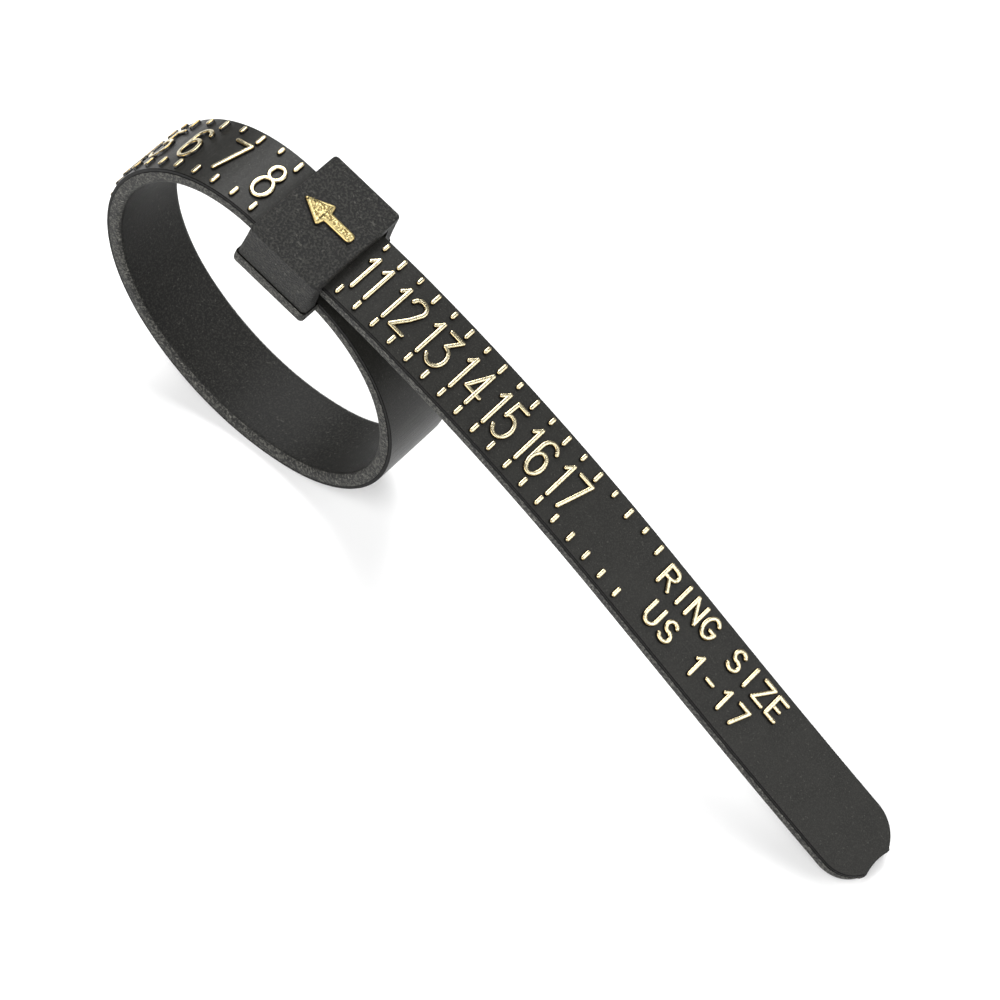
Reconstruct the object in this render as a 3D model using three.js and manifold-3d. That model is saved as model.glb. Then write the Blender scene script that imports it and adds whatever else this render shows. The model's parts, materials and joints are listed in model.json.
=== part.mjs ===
// An adjustable ring sizer: one strip of flexible plastic, moulded with a buckle at its root.
// The strip goes round the finger, back through the buckle and out as a tail. Raised marks on
// its outer face give the ring size where it enters the buckle's mouth.
//
// The bend of the strip is shared out among short links, hinged across the strip, so each link
// carries the marks of one ring size. Lengths are in millimetres, angles in degrees.
//
// Everything is first laid out flat in strip coordinates: x along the strip from the mouth,
// y across it, z out from its middle surface. wrap() then bends it onto the strip's route.

import * as THREE from "three";
import { mergeVertices } from "three/addons/utils/BufferGeometryUtils.js";
import Module from "manifold-3d";

const wasm = await Module();
wasm.setup();

// ---- Driving dimensions ----

// Ring sizes: the inner diameter grows by a fixed step for each size.
const DIAMETER_AT_ZERO = 11.63;
const DIAMETER_STEP = 0.8128;
const FIRST_SIZE = 1;
const LAST_LABEL = 17;
const LAST_TICK = 19;
const HINGE_OFFSET = 0.25; // hinges sit this many sizes past each whole size
const SIZE_AT_HINGE = 8 + HINGE_OFFSET; // the last hinge before the buckle's mouth

// The strip.
const BAND = {
  width: 4.95,
  thickness: 1.0,
  faceWidth: 4.87, // the outer face, inside the moulding's parting ledge
  ledgeDepth: 0.2,
  ledgeSlope: 0.03,
  innerRound: 0.35,
};
const TIP_BEYOND_TICKS = 20.7;
const TIP = { cornerRadius: 2.35, notchHalfWidth: 1.05, notchDepth: 0.2, spur: 0.07 };

// The route of the strip's middle line from the mouth's lower lip, round the finger and
// through the buckle to the tip, as arcs of [length, turn]. A minus turn is clockwise as
// seen from the near side. The loop's last arc takes what is left of its length and turn.
const ROOT_LENGTH = 4.28;
const LOOP_ARCS = [
  [ROOT_LENGTH, 0],
  [21.7, -152.6],
  [12, -57.4],
  [16, -98.4],
];
const TAIL_ARCS = [
  [5.9, 0],
  [4, -4.5],
  [17.5, -10.1],
  [7.2, 0],
  [16, 3.2],
];
const LEAN = 13.55; // the buckle's slope when the loop and the tip both touch the table

// The buckle. Its floor is the strip's root, widened; the hood stands on it.
const FLOOR = { length: 5.2, width: 7.2, overhang: 0.13, edgeRound: 0.25 };
const HOOD = {
  height: 2.46,
  draft: 0.12,
  nearDraft: 0.22,
  farDraft: 0.02, // the far wall is the more upright
  cornerRound: 0.25,
  slotWidth: 5.36,
  roofThickness: 0.6,
  inset: 0.02, // how far its walls stand in from the floor's edge
};
const STUB_END = 5.3; // the root leaves the buckle and meets the first link here

// Marks.
const MARK_HEIGHT = 0.2;
const MARK_STROKE = 0.26;
const MARK_ROOT = 0.15; // how far a moulded rib reaches into the strip
const FOIL_GAP = 0.03; // between a numeral and the curved face under it
const TICK = { long: 0.82, short: 0.57, lower: 0.75, edge: 0.22, lowerEdge: 0.24 };
const DIGIT = { width: 0.9, height: 2.34, base: -1.22 };
// Where a label stands, from the tick of the half size before it: the left of a lone digit
// or a units digit, and the stem of a tens digit. Both stems of an 11 have places of their own.
const LABEL = { single: 0.36, units: 0.58, tensStem: 0.04, elevenStems: [0.3, 1.25] };
const ARROW = {
  tip: 0.66,
  across: 0.3, // its axis is off the buckle's centre line
  length: 3.54,
  headLength: 1.72,
  headWidth: 1.72,
  headCut: 0.13,
  shaftWidth: 0.64,
};

// Hinges. The loop is divided into links, and bends where some of them end.
const LINK_COUNT = 22;
const BENDING_LINKS = [2, 6, 10, 14, 18, 22]; // the last one ends at the mouth
const BEND_GAP = 0.2;
const SEAM_GAP = 0.06;

// ---- Sizes worked out from them ----

const HALF_THICK = BAND.thickness / 2;
const bandLength = (size) => Math.PI * (DIAMETER_AT_ZERO + DIAMETER_STEP * size + BAND.thickness);
const SIZE_PITCH = Math.PI * DIAMETER_STEP;
const MOUTH_HINGE = bandLength(SIZE_AT_HINGE);
const BAND_END = bandLength(LAST_TICK) + TIP_BEYOND_TICKS;

const sum = (arcs, column) => arcs.reduce((total, arc) => total + arc[column], 0);
const ROUTE = [
  ...LOOP_ARCS,
  [MOUTH_HINGE - sum(LOOP_ARCS, 0), -360 - sum(LOOP_ARCS, 1)],
  ...TAIL_ARCS,
];

// ---- The route ----

// The point and heading of the middle line at distance s from the mouth.
function routeAt(s) {
  const place = { x: 0, z: 0, heading: 0 };
  let left = s;
  for (const [length, turn] of ROUTE) {
    const run = Math.min(left, length);
    const rate = THREE.MathUtils.degToRad(turn) / length;
    const next = place.heading + rate * run;
    if (rate === 0) {
      place.x += run * Math.cos(next);
      place.z += run * Math.sin(next);
    } else {
      place.x += (Math.sin(next) - Math.sin(place.heading)) / rate;
      place.z -= (Math.cos(next) - Math.cos(place.heading)) / rate;
    }
    place.heading = next;
    left -= run;
    if (left <= 0) break;
  }
  return place;
}

// Bends a flat geometry (x along, y across, z outward) onto the route.
function wrap(geometry) {
  const position = geometry.getAttribute("position");
  for (let i = 0; i < position.count; i++) {
    const { x, z, heading } = routeAt(position.getX(i));
    const out = position.getZ(i);
    position.setXYZ(i, x - out * Math.sin(heading), position.getY(i), z + out * Math.cos(heading));
  }
  return geometry;
}

// ---- Solids ----

function toSolid(geometry) {
  const bare = new THREE.BufferGeometry();
  bare.setAttribute("position", geometry.getAttribute("position"));
  bare.setIndex(geometry.getIndex());
  const merged = mergeVertices(bare, 1e-5);
  const vertProperties = new Float32Array(merged.getAttribute("position").array);
  const triVerts = new Uint32Array(merged.getIndex().array);
  return new wasm.Manifold(new wasm.Mesh({ numProp: 3, vertProperties, triVerts }));
}

function toGeometry(solid) {
  const mesh = solid.getMesh();
  const geometry = new THREE.BufferGeometry();
  geometry.setAttribute("position", new THREE.BufferAttribute(mesh.vertProperties, 3));
  geometry.setIndex(new THREE.BufferAttribute(mesh.triVerts, 1));
  geometry.computeVertexNormals();
  return geometry;
}

const joined = (solids) => solids.reduce((whole, solid) => whole.add(solid));

// A flat outline in x (along) and y (across), raised from z = low to z = high.
function raised(outline, low, high, curveSegments = 6) {
  const options = { depth: high - low, bevelEnabled: false, curveSegments };
  return new THREE.ExtrudeGeometry(outline, options).translate(0, 0, low);
}

const FROM_SECTION = new THREE.Matrix4().makeBasis(
  new THREE.Vector3(0, 1, 0),
  new THREE.Vector3(0, 0, 1),
  new THREE.Vector3(1, 0, 0),
);

// A section drawn across the strip, run along it from one distance to another.
function runAlong(section, from, to, steps) {
  const options = { depth: to - from, bevelEnabled: false, steps, curveSegments: 3 };
  return new THREE.ExtrudeGeometry(section, options)
    .applyMatrix4(FROM_SECTION)
    .translate(from, 0, 0);
}

// The strip's section: a flat outer face, a small parting ledge, and rounded inner edges.
function bandSection() {
  const half = BAND.width / 2;
  const face = BAND.faceWidth / 2;
  const ledge = HALF_THICK - BAND.ledgeDepth;
  const round = BAND.innerRound;
  const section = new THREE.Shape();
  section.moveTo(face, HALF_THICK);
  section.lineTo(-face, HALF_THICK);
  section.lineTo(-face, ledge);
  section.lineTo(-half, ledge - BAND.ledgeSlope);
  section.absarc(round - half, round - HALF_THICK, round, Math.PI, Math.PI * 1.5, false);
  section.absarc(half - round, round - HALF_THICK, round, -Math.PI / 2, 0, false);
  section.lineTo(half, ledge - BAND.ledgeSlope);
  section.lineTo(face, ledge);
  return section;
}

const bandPiece = (from, to, steps) => toSolid(wrap(runAlong(bandSection(), from, to, steps)));

// ---- Marks ----

// A tick across the strip: a bar with cut corners.
function tickOutline(along, low, high) {
  const half = MARK_STROKE / 2;
  const cut = half * 0.6;
  const outline = new THREE.Shape();
  outline.moveTo(along - half, low + cut);
  outline.lineTo(along - half + cut, low);
  outline.lineTo(along + half - cut, low);
  outline.lineTo(along + half, low + cut);
  outline.lineTo(along + half, high - cut);
  outline.lineTo(along + half - cut, high);
  outline.lineTo(along - half + cut, high);
  outline.lineTo(along - half, high - cut);
  return outline;
}

// The ribs of every half size from one size to another, on both edges of the strip.
function tickRibs(fromSize, toSize) {
  const ribs = [];
  const edge = BAND.faceWidth / 2;
  for (let half = Math.ceil(2 * fromSize); half <= Math.min(2 * toSize, 2 * LAST_TICK); half++) {
    const along = bandLength(half / 2);
    const upper = half % 2 === 0 ? TICK.long : TICK.short;
    const top = edge - TICK.edge;
    const bottom = TICK.lowerEdge - edge;
    ribs.push(tickOutline(along, top - upper, top), tickOutline(along, bottom, bottom + TICK.lower));
  }
  const [low, high] = [HALF_THICK - MARK_ROOT, HALF_THICK + MARK_HEIGHT];
  return ribs.map((outline) => toSolid(wrap(raised(outline, low, high))));
}

// The strokes of each digit, as open paths in a box of DIGIT.width by DIGIT.height.
const W = DIGIT.width;
const H = DIGIT.height;
const path = () => new THREE.Path();
const turnTo = (degrees) => THREE.MathUtils.degToRad(degrees);
const oval = (x, y, rx, ry, from, to) =>
  path().absellipse(x, y, rx, ry, turnTo(from), turnTo(to), to < from);
const polyline = (...points) => path().setFromPoints(points.map(([x, y]) => new THREE.Vector2(x, y)));

const STROKES = {
  0: () => [oval(W / 2, H / 2, W / 2, H / 2, 90, 450)],
  1: () => [polyline([W / 2 - 0.3, H - 0.42], [W / 2, H], [W / 2, 0])],
  2: () => [oval(W / 2, H - 0.5, W / 2, 0.5, 165, -35).lineTo(0, 0).lineTo(W, 0)],
  3: () => [
    polyline([0, H], [W - 0.05, H], [W * 0.4, 1.42]),
    oval(W * 0.4, 0.72, W * 0.6, 0.72, 90, -150),
  ],
  4: () => [
    polyline([W * 0.75, 0], [W * 0.75, H]),
    polyline([W * 0.75, H - 0.02], [0, 0.78], [W + 0.1, 0.78]),
  ],
  5: () => [
    polyline([W - 0.08, H], [0.12, H], [0.06, 1.32]),
    oval(W * 0.42, 0.76, W * 0.58, 0.76, 130, -145),
  ],
  6: () => [
    oval(W / 2, 0.72, W / 2, 0.72, 180, 540),
    oval(W / 2 + 0.02, H - 0.62, W / 2 + 0.02, 0.62, 25, 180).lineTo(0, 0.72),
  ],
  7: () => [polyline([0, H], [W, H], [W * 0.32, 0])],
  8: () => [
    oval(W / 2, 0.68, W / 2, 0.68, 90, 450),
    oval(W / 2, H - 0.49, W * 0.4, 0.49, -90, 270),
  ],
  9: () => [
    oval(W / 2, H - 0.72, W / 2, 0.72, 0, 360),
    oval(W / 2 - 0.02, 0.62, W / 2 + 0.02, 0.62, 205, 360).lineTo(W, H - 0.72),
  ],
};

const CURVE_POINTS = 7; // per half turn of a stroke
const CAP_POINTS = 3;
const SECOND_STROKE = 0.9; // a digit's second stroke is a little narrower, so it ends inside the first

// A stroke of even width with round ends, as a solid on the flat strip.
function strokeSolid(stroke, radius, low, high) {
  const points = cleaned(stroke.getPoints(CURVE_POINTS));
  const closed = points[0].distanceTo(points.at(-1)) < 1e-6;
  if (closed) points.pop();
  const count = points.length;
  const left = [];
  const right = [];
  points.forEach((point, i) => {
    const before = points[closed ? (i + count - 1) % count : Math.max(i - 1, 0)];
    const after = points[closed ? (i + 1) % count : Math.min(i + 1, count - 1)];
    const into = point.clone().sub(before).normalize();
    const outOf = after.clone().sub(point).normalize();
    const along = into.clone().add(outOf).normalize();
    const span = into.lengthSq() > 0 && outOf.lengthSq() > 0 ? Math.max(along.dot(into), 0.45) : 1;
    const side = new THREE.Vector2(-along.y, along.x).multiplyScalar(radius / span);
    left.push(point.clone().add(side));
    right.push(point.clone().sub(side));
  });
  const outline = new THREE.Shape();
  if (closed) {
    const [outer, inner] = THREE.ShapeUtils.area(left) > THREE.ShapeUtils.area(right)
      ? [left, right]
      : [right, left];
    outline.setFromPoints(outer);
    outline.holes.push(new THREE.Path(inner));
  } else {
    const start = cap(points[0], left[0], radius);
    const end = cap(points.at(-1), right.at(-1), radius);
    outline.setFromPoints([...start, ...right, ...end, ...left.reverse()]);
  }
  return toSolid(raised(outline, low, high));
}

// Drops points that repeat the one before.
const cleaned = (points) =>
  points.filter((point, i) => i === 0 || point.distanceTo(points[i - 1]) > 1e-6);

// The points of a half circle round a stroke's end, from one side to the other.
function cap(centre, from, radius) {
  const start = Math.atan2(from.y - centre.y, from.x - centre.x);
  return Array.from({ length: CAP_POINTS }, (_, i) => {
    const angle = start + (Math.PI * (i + 1)) / (CAP_POINTS + 1);
    const offset = new THREE.Vector2(Math.cos(angle), Math.sin(angle));
    return centre.clone().addScaledVector(offset, radius);
  });
}

function digitSolid(digit, along) {
  const [low, high] = [HALF_THICK + FOIL_GAP, HALF_THICK + MARK_HEIGHT];
  const radius = (order) => (MARK_STROKE / 2) * (order === 0 ? 1 : SECOND_STROKE);
  const strokes = STROKES[digit]().map((s, order) => strokeSolid(s, radius(order), low, high));
  const flat = toGeometry(joined(strokes)).translate(along, DIGIT.base, 0);
  return toSolid(wrap(flat));
}

// ---- The buckle ----

// A box whose upright edges are rounded and whose sides lean in towards its top, which lies
// lean further across than its foot.
function taperedBlock(low, high, centre, lengths, widths, round, lean = 0) {
  const [length, width] = [lengths[0] / 2, widths[0] / 2];
  const outline = new THREE.Shape();
  const quarter = Math.PI / 2;
  outline.absarc(length - round, width - round, round, 0, quarter);
  outline.absarc(round - length, width - round, round, quarter, 2 * quarter);
  outline.absarc(round - length, round - width, round, 2 * quarter, 3 * quarter);
  outline.absarc(length - round, round - width, round, 3 * quarter, 4 * quarter);
  const geometry = raised(outline, low, high, 3);
  const position = geometry.getAttribute("position");
  for (let i = 0; i < position.count; i++) {
    const rise = (position.getZ(i) - low) / (high - low);
    const x = position.getX(i) * THREE.MathUtils.lerp(1, lengths[1] / lengths[0], rise);
    const y = position.getY(i) * THREE.MathUtils.lerp(1, widths[1] / widths[0], rise);
    position.setXYZ(i, x + centre, y + lean * rise, position.getZ(i));
  }
  return toSolid(geometry);
}

const FLOOR_CENTRE = FLOOR.length / 2 - FLOOR.overhang;
const HOOD_TOP = HALF_THICK + HOOD.height;

// The floor plate under the hood, with the root stub that the first link meets.
function buckleBase() {
  const lengths = [FLOOR.length, FLOOR.length];
  const widths = [FLOOR.width, FLOOR.width];
  const plate = taperedBlock(-HALF_THICK, HALF_THICK, FLOOR_CENTRE, lengths, widths, FLOOR.edgeRound);
  return plate.add(bandPiece(FLOOR_CENTRE, STUB_END - SEAM_GAP / 2, 4));
}

// The hood: two side walls and a roof over the slot that the tail runs through.
function buckleHood() {
  const length = FLOOR.length - 2 * HOOD.inset;
  const width = FLOOR.width - 2 * HOOD.inset;
  const lengths = [length, length - 2 * HOOD.draft];
  const widths = [width, width - HOOD.nearDraft - HOOD.farDraft];
  const lean = (HOOD.nearDraft - HOOD.farDraft) / 2;
  const seat = HALF_THICK + FOIL_GAP;
  const block = taperedBlock(seat, HOOD_TOP, FLOOR_CENTRE, lengths, widths, HOOD.cornerRound, lean);
  const slot = new THREE.BoxGeometry(
    2 * FLOOR.length,
    HOOD.slotWidth,
    2 * (HOOD.height - HOOD.roofThickness),
  );
  return block.subtract(toSolid(slot.translate(FLOOR_CENTRE, 0, HALF_THICK)));
}

// The raised arrow on the roof. Its point is at the mouth, where the size is read.
function arrow() {
  const { tip, across, length, headLength, headWidth, headCut, shaftWidth } = ARROW;
  const neck = tip + headLength;
  const end = tip + length;
  const [head, shaft] = [headWidth / 2, shaftWidth / 2];
  const outline = new THREE.Shape();
  outline.moveTo(tip, 0);
  outline.lineTo(neck - headCut, -head);
  outline.lineTo(neck, headCut - head);
  outline.lineTo(neck, -shaft);
  outline.absarc(end - shaft, 0, shaft, -Math.PI / 2, Math.PI / 2);
  outline.lineTo(neck, shaft);
  outline.lineTo(neck, head - headCut);
  outline.lineTo(neck - headCut, head);
  const flat = raised(outline, HOOD_TOP + FOIL_GAP, HOOD_TOP + MARK_HEIGHT);
  return toSolid(flat.translate(0, across, 0));
}

// ---- Links and tail ----

const linkEnd = (index) => MOUTH_HINGE - (LINK_COUNT - index) * SIZE_PITCH;
const gapAfter = (index) => (BENDING_LINKS.includes(index) ? BEND_GAP : SEAM_GAP);

// Link 1 meets the root stub, and link LINK_COUNT is the last before the mouth.
function link(index) {
  const from = index === 1 ? STUB_END : linkEnd(index - 1);
  const to = linkEnd(index);
  const body = bandPiece(from + gapAfter(index - 1) / 2, to - gapAfter(index) / 2, 3);
  const highest = SIZE_AT_HINGE - (LINK_COUNT - index);
  const ribs = tickRibs(Math.max(highest - 1, FIRST_SIZE), highest);
  return joined([body, ...ribs]);
}

// What is cut off the strip's square end to leave its rounded tip and the small hollow
// where the moulding's gate was snapped off.
function tipWaste() {
  const half = BAND.width / 2;
  const { cornerRadius, notchHalfWidth, notchDepth, spur } = TIP;
  const end = BAND_END;
  const edge = half - cornerRadius;
  const cornerX = end - spur - Math.sqrt(cornerRadius ** 2 - (notchHalfWidth - edge) ** 2);
  const outer = end + 1;
  const waste = new THREE.Shape();
  waste.moveTo(cornerX, half);
  const reach = Math.acos((notchHalfWidth - edge) / cornerRadius);
  waste.absarc(cornerX, edge, cornerRadius, Math.PI / 2, Math.PI / 2 - reach, true);
  waste.lineTo(end, notchHalfWidth);
  waste.quadraticCurveTo(end - 2 * notchDepth, 0, end, -notchHalfWidth);
  waste.absarc(cornerX, -edge, cornerRadius, reach - Math.PI / 2, -Math.PI / 2, true);
  waste.lineTo(cornerX, -half - 1);
  waste.lineTo(outer, -half - 1);
  waste.lineTo(outer, half + 1);
  waste.lineTo(cornerX, half + 1);
  return toSolid(wrap(raised(waste, -2 * BAND.thickness, 2 * BAND.thickness)));
}

function tail() {
  const strip = bandPiece(MOUTH_HINGE + BEND_GAP / 2, BAND_END, 26);
  const ribs = tickRibs(SIZE_AT_HINGE, LAST_TICK);
  return joined([strip.subtract(tipWaste()), ...ribs]);
}

// ---- Materials and assembly ----

const BLACK_GRAIN = new THREE.MeshStandardMaterial({ color: 0x1b1b1a, roughness: 0.7 });
const BLACK_SMOOTH = new THREE.MeshStandardMaterial({ color: 0x161615, roughness: 0.45 });
const GOLD_FOIL = new THREE.MeshStandardMaterial({ color: 0xd8c58a, roughness: 0.3, metalness: 0.9 });

const sizer = new THREE.Group();

function place(name, solid, material) {
  const mesh = new THREE.Mesh(toGeometry(solid), material);
  mesh.name = name;
  sizer.add(mesh);
}

place("buckle_base", buckleBase(), BLACK_GRAIN);
place("buckle_hood", buckleHood(), BLACK_GRAIN);
place("buckle_arrow", arrow(), GOLD_FOIL);
place("band_tail", tail(), BLACK_SMOOTH);
for (let index = 1; index <= LINK_COUNT; index++) {
  place(`band_link_${String(index).padStart(2, "0")}`, link(index), BLACK_SMOOTH);
}

// The labels, each counted from the tick of the half size before it.
for (let size = FIRST_SIZE; size <= LAST_LABEL; size++) {
  const tick = bandLength(size - 0.5);
  const digits = String(size).split("");
  const label = `numeral_${String(size).padStart(2, "0")}`;
  if (digits.length === 1) {
    place(label, digitSolid(digits[0], tick + LABEL.single), GOLD_FOIL);
    continue;
  }
  const stems = size === 11 ? LABEL.elevenStems : [LABEL.tensStem, LABEL.units + W / 2];
  const lefts = stems.map((stem) => tick + stem - W / 2);
  place(`${label}_tens`, digitSolid(digits[0], lefts[0]), GOLD_FOIL);
  place(`${label}_units`, digitSolid(digits[1], lefts[1]), GOLD_FOIL);
}

// Lean it so that the loop and the tip both touch the table, then set the middle of its
// footprint on the origin.
sizer.rotation.y = THREE.MathUtils.degToRad(LEAN);
sizer.updateMatrixWorld(true);
const box = new THREE.Box3().setFromObject(sizer, true);
const middle = box.getCenter(new THREE.Vector3());
sizer.position.set(-middle.x, -middle.y, -box.min.z);

export default sizer;
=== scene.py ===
"""The looks of an adjustable ring sizer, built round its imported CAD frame.

The sizer is one flexible black strip, moulded with a buckle at its root. Its shapes are laid out
in strip coordinates, in millimetres: x along the strip from the buckle's mouth, y across it and
z out from its middle surface. The strip's route then bends them into place.
"""

import json
import math

import bmesh
import bpy
import numpy as np
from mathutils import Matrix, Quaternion, Vector


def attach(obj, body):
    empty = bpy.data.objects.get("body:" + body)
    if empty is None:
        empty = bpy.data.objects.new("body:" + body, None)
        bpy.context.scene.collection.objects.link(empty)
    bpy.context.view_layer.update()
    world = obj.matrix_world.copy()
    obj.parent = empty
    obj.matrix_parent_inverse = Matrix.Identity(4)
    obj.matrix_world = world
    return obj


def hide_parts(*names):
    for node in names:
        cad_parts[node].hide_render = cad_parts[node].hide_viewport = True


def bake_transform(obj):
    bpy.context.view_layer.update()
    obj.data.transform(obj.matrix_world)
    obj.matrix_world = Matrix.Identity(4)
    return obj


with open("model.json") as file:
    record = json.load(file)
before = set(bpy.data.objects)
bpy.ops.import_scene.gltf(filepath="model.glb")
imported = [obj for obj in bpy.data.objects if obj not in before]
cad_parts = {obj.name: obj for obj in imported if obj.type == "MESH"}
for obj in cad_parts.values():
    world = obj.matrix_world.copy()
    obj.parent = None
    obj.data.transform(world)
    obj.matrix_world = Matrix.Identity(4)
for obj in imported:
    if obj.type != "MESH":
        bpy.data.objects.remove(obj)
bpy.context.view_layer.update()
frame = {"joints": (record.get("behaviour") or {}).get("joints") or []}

MM = 0.001

# ---- The same driving dimensions as the CAD part, in millimetres and degrees ----

DIAMETER_AT_ZERO = 11.63
DIAMETER_STEP = 0.8128
FIRST_SIZE = 1
LAST_LABEL = 17
LAST_TICK = 19
SIZE_AT_HINGE = 8.25
LINK_COUNT = 22

THICKNESS = 1.0
HALF_THICK = THICKNESS / 2
HALF_WIDTH = 2.475
FACE_INSET = 0.04  # the outer face is this much narrower on each side, above the parting line
PARTING = 0.3  # height of the parting line above the middle surface
INNER_ROUND = 0.35

ROOT_LENGTH = 4.28
LOOP_ARCS = [(ROOT_LENGTH, 0), (21.7, -152.6), (12, -57.4), (16, -98.4)]
TAIL_ARCS = [(5.9, 0), (4, -4.5), (17.5, -10.1), (7.2, 0), (16, 3.2)]
STUB_END = 5.3
TIP_BEYOND_TICKS = 20.7
TIP_RADIUS = 2.35
NOTCH_HALF_WIDTH = 1.05
NOTCH_DEPTH = 0.14
SPUR = 0.07
SPUR_RAMP = 0.18  # over this width the spur runs out into the round end

FLOOR_LENGTH = 5.2
FLOOR_WIDTH = 7.2
FLOOR_CENTRE = FLOOR_LENGTH / 2 - 0.13
HOOD_TOP = HALF_THICK + 2.46
SLOT_WIDTH = 5.36
ROOF = 0.6
FAR_LEAN = 0.1  # the hood's top lies this much to the far side, whose wall is the more upright


def strip_length(size):
    """The strip's length from the buckle's mouth to the mark of a ring size."""
    return math.pi * (DIAMETER_AT_ZERO + DIAMETER_STEP * size + THICKNESS)


SIZE_PITCH = math.pi * DIAMETER_STEP
MOUTH_HINGE = strip_length(SIZE_AT_HINGE)
STRIP_END = strip_length(LAST_TICK) + TIP_BEYOND_TICKS
TIP_CENTRE_Y = HALF_WIDTH - TIP_RADIUS
TIP_CENTRE = STRIP_END - SPUR - math.sqrt(TIP_RADIUS**2 - (NOTCH_HALF_WIDTH - TIP_CENTRE_Y) ** 2)

# ---- The route ----

loop_length = sum(length for length, turn in LOOP_ARCS)
loop_turn = sum(turn for length, turn in LOOP_ARCS)
ROUTE = LOOP_ARCS + [(MOUTH_HINGE - loop_length, -360 - loop_turn)] + TAIL_ARCS


def arc_starts():
    """Where each arc of the route starts: distance, x, z, heading and turn per millimetre."""
    rows = []
    start, x, z, heading = 0.0, 0.0, 0.0, 0.0
    for length, turn in ROUTE:
        rate = math.radians(turn) / length
        rows.append((start, x, z, heading, rate))
        after = heading + rate * length
        if rate == 0:
            x += length * math.cos(heading)
            z += length * math.sin(heading)
        else:
            x += (math.sin(after) - math.sin(heading)) / rate
            z -= (math.cos(after) - math.cos(heading)) / rate
        start += length
        heading = after
    return np.array(rows)


ARC_STARTS = arc_starts()


def route_at(distance):
    """x, z and heading of the strip's middle surface, for an array of distances."""
    distance = np.asarray(distance, float)
    arc = np.clip(np.searchsorted(ARC_STARTS[:, 0], distance, side="right") - 1, 0, None)
    start, x, z, heading, rate = ARC_STARTS[arc].T
    run = distance - start
    after = heading + rate * run
    straight = np.abs(rate) < 1e-9
    safe = np.where(straight, 1.0, rate)
    along_x = np.where(straight, run * np.cos(heading), (np.sin(after) - np.sin(heading)) / safe)
    along_z = np.where(straight, run * np.sin(heading), (np.cos(heading) - np.cos(after)) / safe)
    return x + along_x, z + along_z, after


JOINTS = {joint["name"]: joint for joint in frame["joints"]}
SLIDE_AXIS = JOINTS["tail_slide"]["axis"]
LEAN = math.atan2(-SLIDE_AXIS[2], SLIDE_AXIS[0])
TURN = np.array(
    [
        [math.cos(LEAN), 0, math.sin(LEAN)],
        [0, 1, 0],
        [-math.sin(LEAN), 0, math.cos(LEAN)],
    ]
)


def hinge_point(index):
    """Where a hinge's axis crosses the middle of the strip, in metres in the row frame."""
    return np.array(JOINTS[f"flex_{index:02d}"]["pos_m"])


def mouth_shift():
    """What moves the buckle's own frame onto the row frame, from the hinge at the mouth."""
    x, z, heading = route_at([MOUTH_HINGE])
    return hinge_point(LINK_COUNT) - TURN @ np.array([x[0], 0, z[0]]) * MM


SHIFT = mouth_shift()


def to_row(points):
    """Points in the buckle's own frame, in millimetres, to the row frame in metres."""
    return np.asarray(points, float) @ TURN.T * MM + SHIFT


def wrap(flat):
    """Points in strip coordinates to the row frame in metres."""
    flat = np.asarray(flat, float)
    x, z, heading = route_at(flat[:, 0])
    out = flat[:, 2]
    bent = np.stack([x - out * np.sin(heading), flat[:, 1], z + out * np.cos(heading)], axis=1)
    return to_row(bent)


# ---- Meshes ----


def make_mesh(name, vertices, faces, flat, materials, face_slots=None, rise=None):
    """A smooth mesh object. flat is kept on it as the place its material's grain is taken from,
    and rise says how far up a raised mark each vertex is."""
    mesh = bpy.data.meshes.new(name)
    mesh.from_pydata([tuple(v) for v in vertices], [], faces)
    mesh.attributes.new("flat", "FLOAT_VECTOR", "POINT")
    mesh.attributes["flat"].data.foreach_set("vector", np.asarray(flat, np.float32).ravel())
    if rise is not None:
        mesh.attributes.new("rise", "FLOAT", "POINT")
        mesh.attributes["rise"].data.foreach_set("value", np.asarray(rise, np.float32))
    for material in materials:
        mesh.materials.append(material)
    if face_slots is not None:
        mesh.polygons.foreach_set("material_index", np.asarray(face_slots, np.int32))
    mesh.polygons.foreach_set("use_smooth", np.ones(len(mesh.polygons), bool))
    mesh.update()
    made = bpy.data.objects.new(name, mesh)
    bpy.context.scene.collection.objects.link(made)
    return made


def weld(made, reach=1e-4):
    """Joins vertices that lie in one place, within reach millimetres, and turns faces outward."""
    work = bmesh.new()
    work.from_mesh(made.data)
    bmesh.ops.remove_doubles(work, verts=work.verts, dist=reach * MM)
    bmesh.ops.recalc_face_normals(work, faces=work.faces)
    work.to_mesh(made.data)
    work.free()
    return made


def grid_faces(rows, columns, closed_rows=False, closed_columns=False):
    """Quads between the vertices of a grid stored row by row."""
    faces = []
    for row in range(rows if closed_rows else rows - 1):
        for column in range(columns if closed_columns else columns - 1):
            right = (column + 1) % columns
            below = (row + 1) % rows
            faces.append(
                (
                    row * columns + column,
                    row * columns + right,
                    below * columns + right,
                    below * columns + column,
                )
            )
    return faces


# ---- Materials ----


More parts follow.
